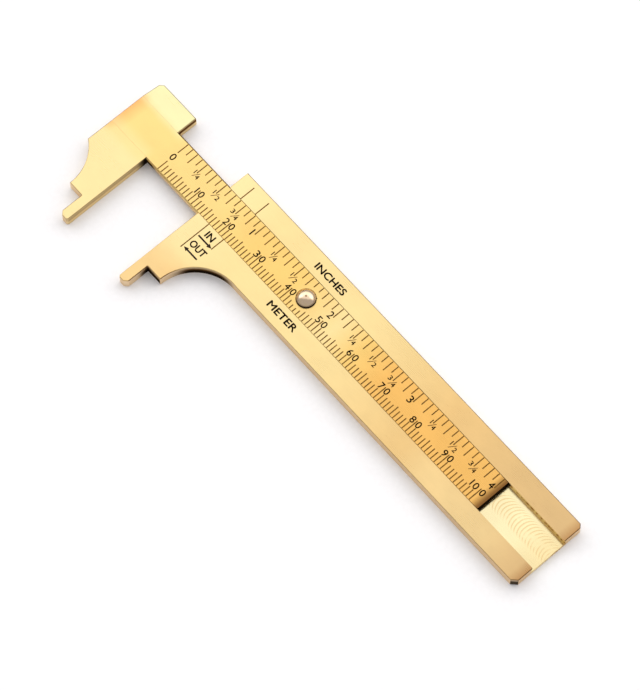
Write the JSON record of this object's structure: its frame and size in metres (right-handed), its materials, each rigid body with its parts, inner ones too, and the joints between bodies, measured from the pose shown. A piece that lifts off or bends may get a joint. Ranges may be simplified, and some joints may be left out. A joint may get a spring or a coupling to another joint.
{
  "type": "sliding caliper",
  "caption": "Flat brass caliper: a graduated dovetail bar with a crosshead jaw slides in a plate that has a fixed jaw, to read inside and outside sizes in millimetres or inches.",
  "frame": {"origin": "on the back face, under the index line for outside sizes, on the centreline of the slide bar", "axes": "+X along the bar from the jaws to the tail, +Y from the metric rail to the inch rail, +Z out of the graduated face"},
  "size_m": [0.1353, 0.0364, 0.0046],
  "materials": {
    "body_brass": "satin",
    "bar_brass": "satin",
    "jaw_brass": "satin",
    "stud_brass": "polished",
    "scale_ink": "matt"
  },
  "bodies": {
    "frame": {"body": "body_brass"},
    "slide": {"slide_bar": "bar_brass", "sliding_jaw": "jaw_brass", "thumb_stud": "stud_brass"}
  },
  "joints": [
    {"name": "opening", "type": "slide", "parent": "frame", "child": "slide", "axis": [-1, 0, 0], "range_m": [-0.01705, 0.0845]}
  ]
}
